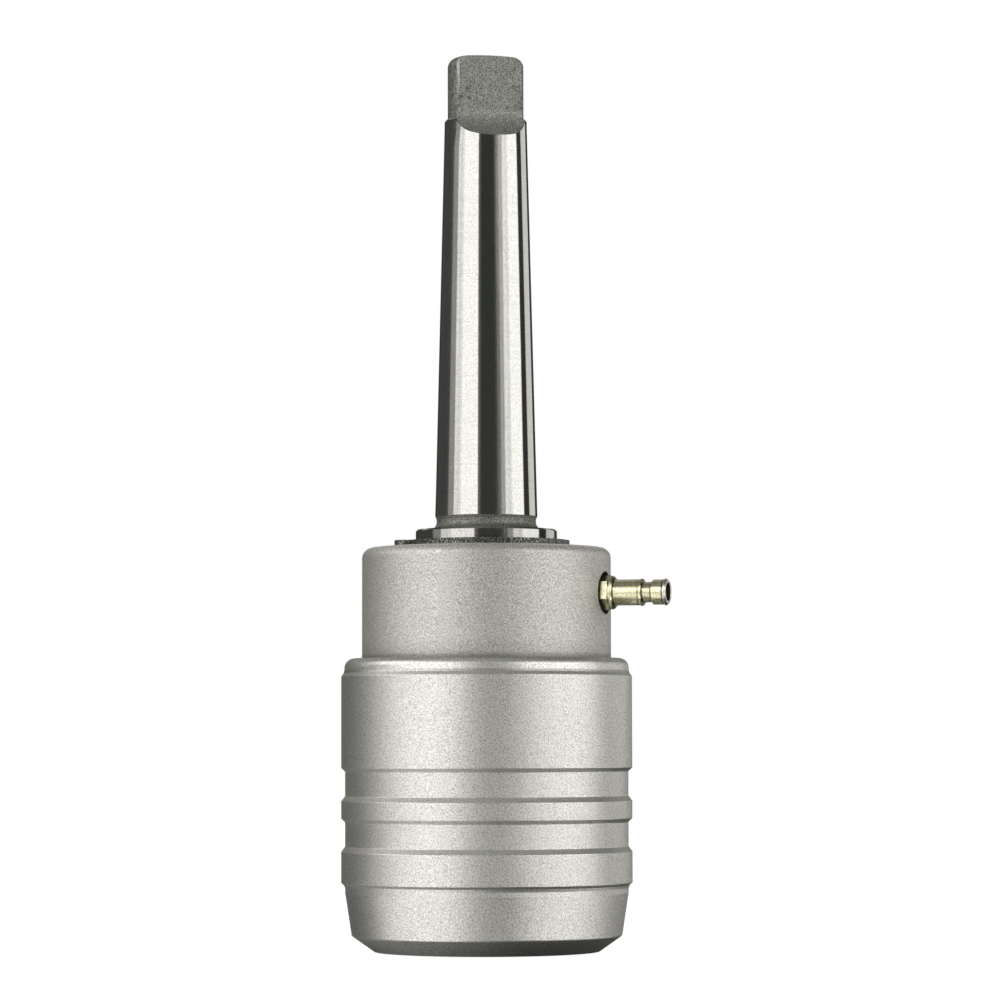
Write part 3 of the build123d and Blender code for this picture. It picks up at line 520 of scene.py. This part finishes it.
def soft(name, color, rough, scale=1800.0):
    m = Nodes(name)
    g = m.noise(m.pos, scale, 3.0, 0.6)
    shade = m.map_range(g, 0.3, 0.7, 0.85, 1.15)
    c = m.t.nodes.new("ShaderNodeCombineColor")
    for i in range(3):
        m.link(m.math("MULTIPLY", shade, color[i]), c.inputs[i])
    b = m.bsdf(c.outputs[0], m.map_range(g, 0.3, 0.7, rough + 0.06, rough - 0.06), 0.0, m.bump(g, 0.6, 0.01 * MM))
    return m.finish(b.outputs[0])


mat_rubber = soft("seal_rubber", (0.025, 0.025, 0.026), 0.6)
mat_nylon = soft("cage_nylon", (0.68, 0.63, 0.47), 0.45)

LOOK = {
    "arbor_shank": mat_arbor,
    "journal_circlip": mat_black,
    "thrust_shim": mat_plain,
    "nose_snap_ring": mat_black,
    "guide_pin": mat_plain,
    "sleeve_spring": mat_wire,
    "plunger_circlip": mat_black,
    "plunger_spring": mat_wire,
    "bearing_inner_race": mat_bearing,
    "bearing_outer_race": mat_bearing,
    "bearing_balls": mat_bearing,
    "bearing_cage": mat_nylon,
    "bearing_seals": mat_rubber,
    "coolant_housing": mat_housing,
    "upper_bush": mat_bronze,
    "upper_shaft_seal": mat_rubber,
    "lower_shaft_seal": mat_rubber,
    "housing_circlip": mat_black,
    "coolant_nipple": mat_nipple,
    "nipple_seal_ring": mat_rubber,
    "release_sleeve": mat_sleeve,
    "locking_pin_a": mat_plain,
    "locking_pin_b": mat_plain,
    "valve_plunger": mat_bronze,
    "plunger_o_ring": mat_rubber,
}
for name, obj in nodes.items():
    obj.data.materials.clear()
    obj.data.materials.append(LOOK[name])


# ------------------------------------------------------------------ springs
def coil(name, mean_r, wire, z0, z1, turns, body, material, hand=1.0):
    """Compression spring with closed, ground ends, as a tube mesh. Millimetres."""
    per, around = 72, 20
    steps = int(turns * per)
    closed = 0.8
    lo, hi = z0 + wire * 0.25, z1 - wire * 0.25
    rise_closed = wire * 0.98 * closed
    active = turns - 2 * closed
    span = (hi - lo) - 2 * rise_closed * 0.55
    verts, faces = [], []

    def height(t):
        """Height of the wire's centre after t turns."""
        a = min(t, closed) / closed
        b = min(max(t - closed, 0.0), active) / active
        c = max(t - closed - active, 0.0) / closed
        return lo + rise_closed * 0.55 * (a + c) + span * b

    for i in range(steps + 1):
        t = turns * i / steps
        ang = hand * 2 * math.pi * t
        z = height(t)
        dz = (height(min(t + 0.01, turns)) - height(max(t - 0.01, 0))) / 0.02
        pitch_ang = math.atan2(dz, 2 * math.pi * mean_r)
        out = Vector((math.cos(ang), math.sin(ang), 0))
        along = Vector((-math.sin(ang) * hand, math.cos(ang) * hand, 0)) * math.cos(pitch_ang) + Vector(
            (0, 0, math.sin(pitch_ang))
        )
        side = along.cross(out).normalized()
        c = out * mean_r + Vector((0, 0, z))
        for j in range(around):
            q = 2 * math.pi * j / around
            p = c + out * (math.cos(q) * wire / 2) + side * (math.sin(q) * wire / 2)
            p.z = min(max(p.z, z0), z1)  # ground ends
            verts.append(p * MM)
    for i in range(steps):
        for j in range(around):
            a = i * around + j
            b = i * around + (j + 1) % around
            faces.append((a, b, b + around, a + around))
    faces.append(tuple(reversed(range(around))))
    faces.append(tuple(steps * around + j for j in range(around)))
    me = bpy.data.meshes.new(name)
    me.from_pydata([tuple(v) for v in verts], [], faces)
    me.validate()
    me.polygons.foreach_set("use_smooth", [True] * len(me.polygons))
    me.set_sharp_from_angle(angle=math.radians(40))
    me.materials.append(material)
    ob = bpy.data.objects.new(name + "_coil", me)
    scene.collection.objects.link(ob)
    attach(ob, body)
    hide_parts(name)
    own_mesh(ob)
    return ob


coil("sleeve_spring", 19.75, 2.4, 24.02, 41.98, 4.5, "arbor", mat_wire)
coil("plunger_spring", 4.6, 0.9, 42.02, 55.98, 6.0, "arbor", mat_wire)

# ------------------------------------------------------------------ stage
floor_mesh = bpy.data.meshes.new("floor")
s = 1.6
floor_mesh.from_pydata([(-s, -s, 0), (s, -s, 0), (s, s, 0), (-s, s, 0)], [], [(0, 1, 2, 3)])
floor = bpy.data.objects.new("floor", floor_mesh)
floor.location.z = -0.00002
scene.collection.objects.link(floor)
fm = Nodes("floor")
em = fm.t.nodes.new("ShaderNodeEmission")
em.inputs["Color"].default_value = rgb(1, 1, 1)
em.inputs["Strength"].default_value = 0.94
df = fm.t.nodes.new("ShaderNodeBsdfDiffuse")
df.inputs["Color"].default_value = rgb(0.3, 0.3, 0.3)
add = fm.t.nodes.new("ShaderNodeAddShader")
fm.link(em.outputs[0], add.inputs[0])
fm.link(df.outputs[0], add.inputs[1])
tr = fm.t.nodes.new("ShaderNodeBsdfTransparent")
geo = fm.t.nodes.new("ShaderNodeNewGeometry")
mx = fm.t.nodes.new("ShaderNodeMixShader")
fm.link(geo.outputs["Backfacing"], mx.inputs[0])
fm.link(add.outputs[0], mx.inputs[1])
fm.link(tr.outputs[0], mx.inputs[2])
floor_mesh.materials.append(fm.finish(mx.outputs[0]))
floor.visible_glossy = False
floor.visible_diffuse = False

# ------------------------------------------------------------------ light
# Soft boxes all round, given as seen from the object. Azimuth is 0 towards the camera and
# positive to the right, elevation is 0 level and positive upwards, both in degrees.
world = bpy.data.worlds.new("studio")
scene.world = world
world.use_nodes = True
wt = world.node_tree
wt.nodes.clear()
wout = wt.nodes.new("ShaderNodeOutputWorld")
wcoord = wt.nodes.new("ShaderNodeTexCoord")


def wmath(op, a, b=None):
    n = wt.nodes.new("ShaderNodeMath")
    n.operation = op
    for i, v in enumerate((a, b)):
        if v is None:
            continue
        if isinstance(v, bpy.types.NodeSocket):
            wt.links.new(v, n.inputs[i])
        else:
            n.inputs[i].default_value = v
    return n.outputs[0]


def wdot(direction):
    n = wt.nodes.new("ShaderNodeVectorMath")
    n.operation = "DOT_PRODUCT"
    wt.links.new(wcoord.outputs["Generated"], n.inputs[0])
    n.inputs[1].default_value = direction
    return n.outputs["Value"]


azimuth = wmath("MULTIPLY", wmath("ARCTAN2", wdot(right), wdot(toward)), 180.0 / math.pi)
elevation = wmath("MULTIPLY", wmath("ARCSINE", wdot((0.0, 0.0, 1.0))), 180.0 / math.pi)


def edge(value, at, soft, falling=False):
    n = wt.nodes.new("ShaderNodeMapRange")
    n.interpolation_type = "SMOOTHSTEP"
    wt.links.new(value, n.inputs["Value"])
    n.inputs["From Min"].default_value = at - soft / 2
    n.inputs["From Max"].default_value = at + soft / 2
    n.inputs["To Min"].default_value = 1.0 if falling else 0.0
    n.inputs["To Max"].default_value = 0.0 if falling else 1.0
    return n.outputs[0]


def softbox(a0, a1, e0, e1, radiance, soft):
    """Radiance of one box, with soft edges."""
    v = wmath("MULTIPLY", edge(azimuth, a0, soft), edge(azimuth, a1, soft, True))
    v = wmath("MULTIPLY", v, edge(elevation, e0, soft))
    v = wmath("MULTIPLY", v, edge(elevation, e1, soft, True))
    return wmath("MULTIPLY", v, radiance)


BOXES = [
    # upright strips at the height of the shank
    (-150, -98, -3, 18, 0.03, 6),
    (-97, -79.5, -3, 18, 0.33, 7),
    (-79.5, -69, -3, 18, 1.12, 2.5),
    (-69, -66.5, -3, 18, 0.85, 1.5),
    (-66.5, -60, -3, 18, 1.20, 2.5),
    (-60, -19.3, -3, 18, 1.54, 1.5),
    (-19.3, -13, -3, 18, 0.10, 3),
    (28, 35.3, -3, 18, 0.08, 4),
    (35.3, 45, -3, 18, 0.40, 1.5),
    (45, 55, -3, 18, 1.15, 2.5),
    (55, 57.5, -3, 18, 0.90, 1.5),
    (57.5, 62, -3, 18, 1.20, 2.5),
    (62, 95.5, -3, 18, 1.52, 1.5),
    (115.5, 143, -3, 18, 0.85, 3),
    (143, 153, -12, 24, 0.30, 4),
    # large panels above and below them
    (-110, -19, 18, 40.7, 2.2, 8),
    (25, 98, 18, 26, 4.13, 8),
    (30, 44, 18, 33, 3.2, 6),
    (-99, -18, -55.7, -9.9, 1.22, 8),
    (32, 121, -25, -16, 1.95, 8),
    (-18, 43, -15, -7, 1.02, 8),
    (41.5, 89, -30.4, -20.7, 1.2, 8),
    # in front, low and high
    (-35, 25, -78, -45, 0.10, 10),
    (-140, 25, 52, 90, 0.07, 14),
    # behind: low on the left, and above the object's own height
    (-180, -118, -72, -28, 0.19, 12),
    (150, 180, 24, 60, 0.6, 8),
    (-180, -150, 24, 60, 0.6, 8),
]
level = 0.0
for one in BOXES:
    level = wmath("ADD", softbox(*one), level)
overhead = wmath("MULTIPLY", edge(elevation, 62, 24), 0.12)
level = wmath("ADD", level, overhead)
# the panels are a little warm, the room between them a little green
wcol = wt.nodes.new("ShaderNodeCombineColor")
for i, (panel, room) in enumerate(((1.0, 0.93), (0.978, 1.02), (0.945, 0.91))):
    v = wmath("MULTIPLY", level, panel)
    wt.links.new(wmath("ADD", v, 0.045 * room), wcol.inputs[i])
wb1 = wt.nodes.new("ShaderNodeBackground")
wt.links.new(wcol.outputs[0], wb1.inputs["Color"])
wb2 = wt.nodes.new("ShaderNodeBackground")
wb2.inputs["Color"].default_value = rgb(1, 1, 1)
lp = wt.nodes.new("ShaderNodeLightPath")
wmix = wt.nodes.new("ShaderNodeMixShader")
wt.links.new(lp.outputs["Is Camera Ray"], wmix.inputs[0])
wt.links.new(wb1.outputs[0], wmix.inputs[1])
wt.links.new(wb2.outputs[0], wmix.inputs[2])
wt.links.new(wmix.outputs[0], wout.inputs["Surface"])
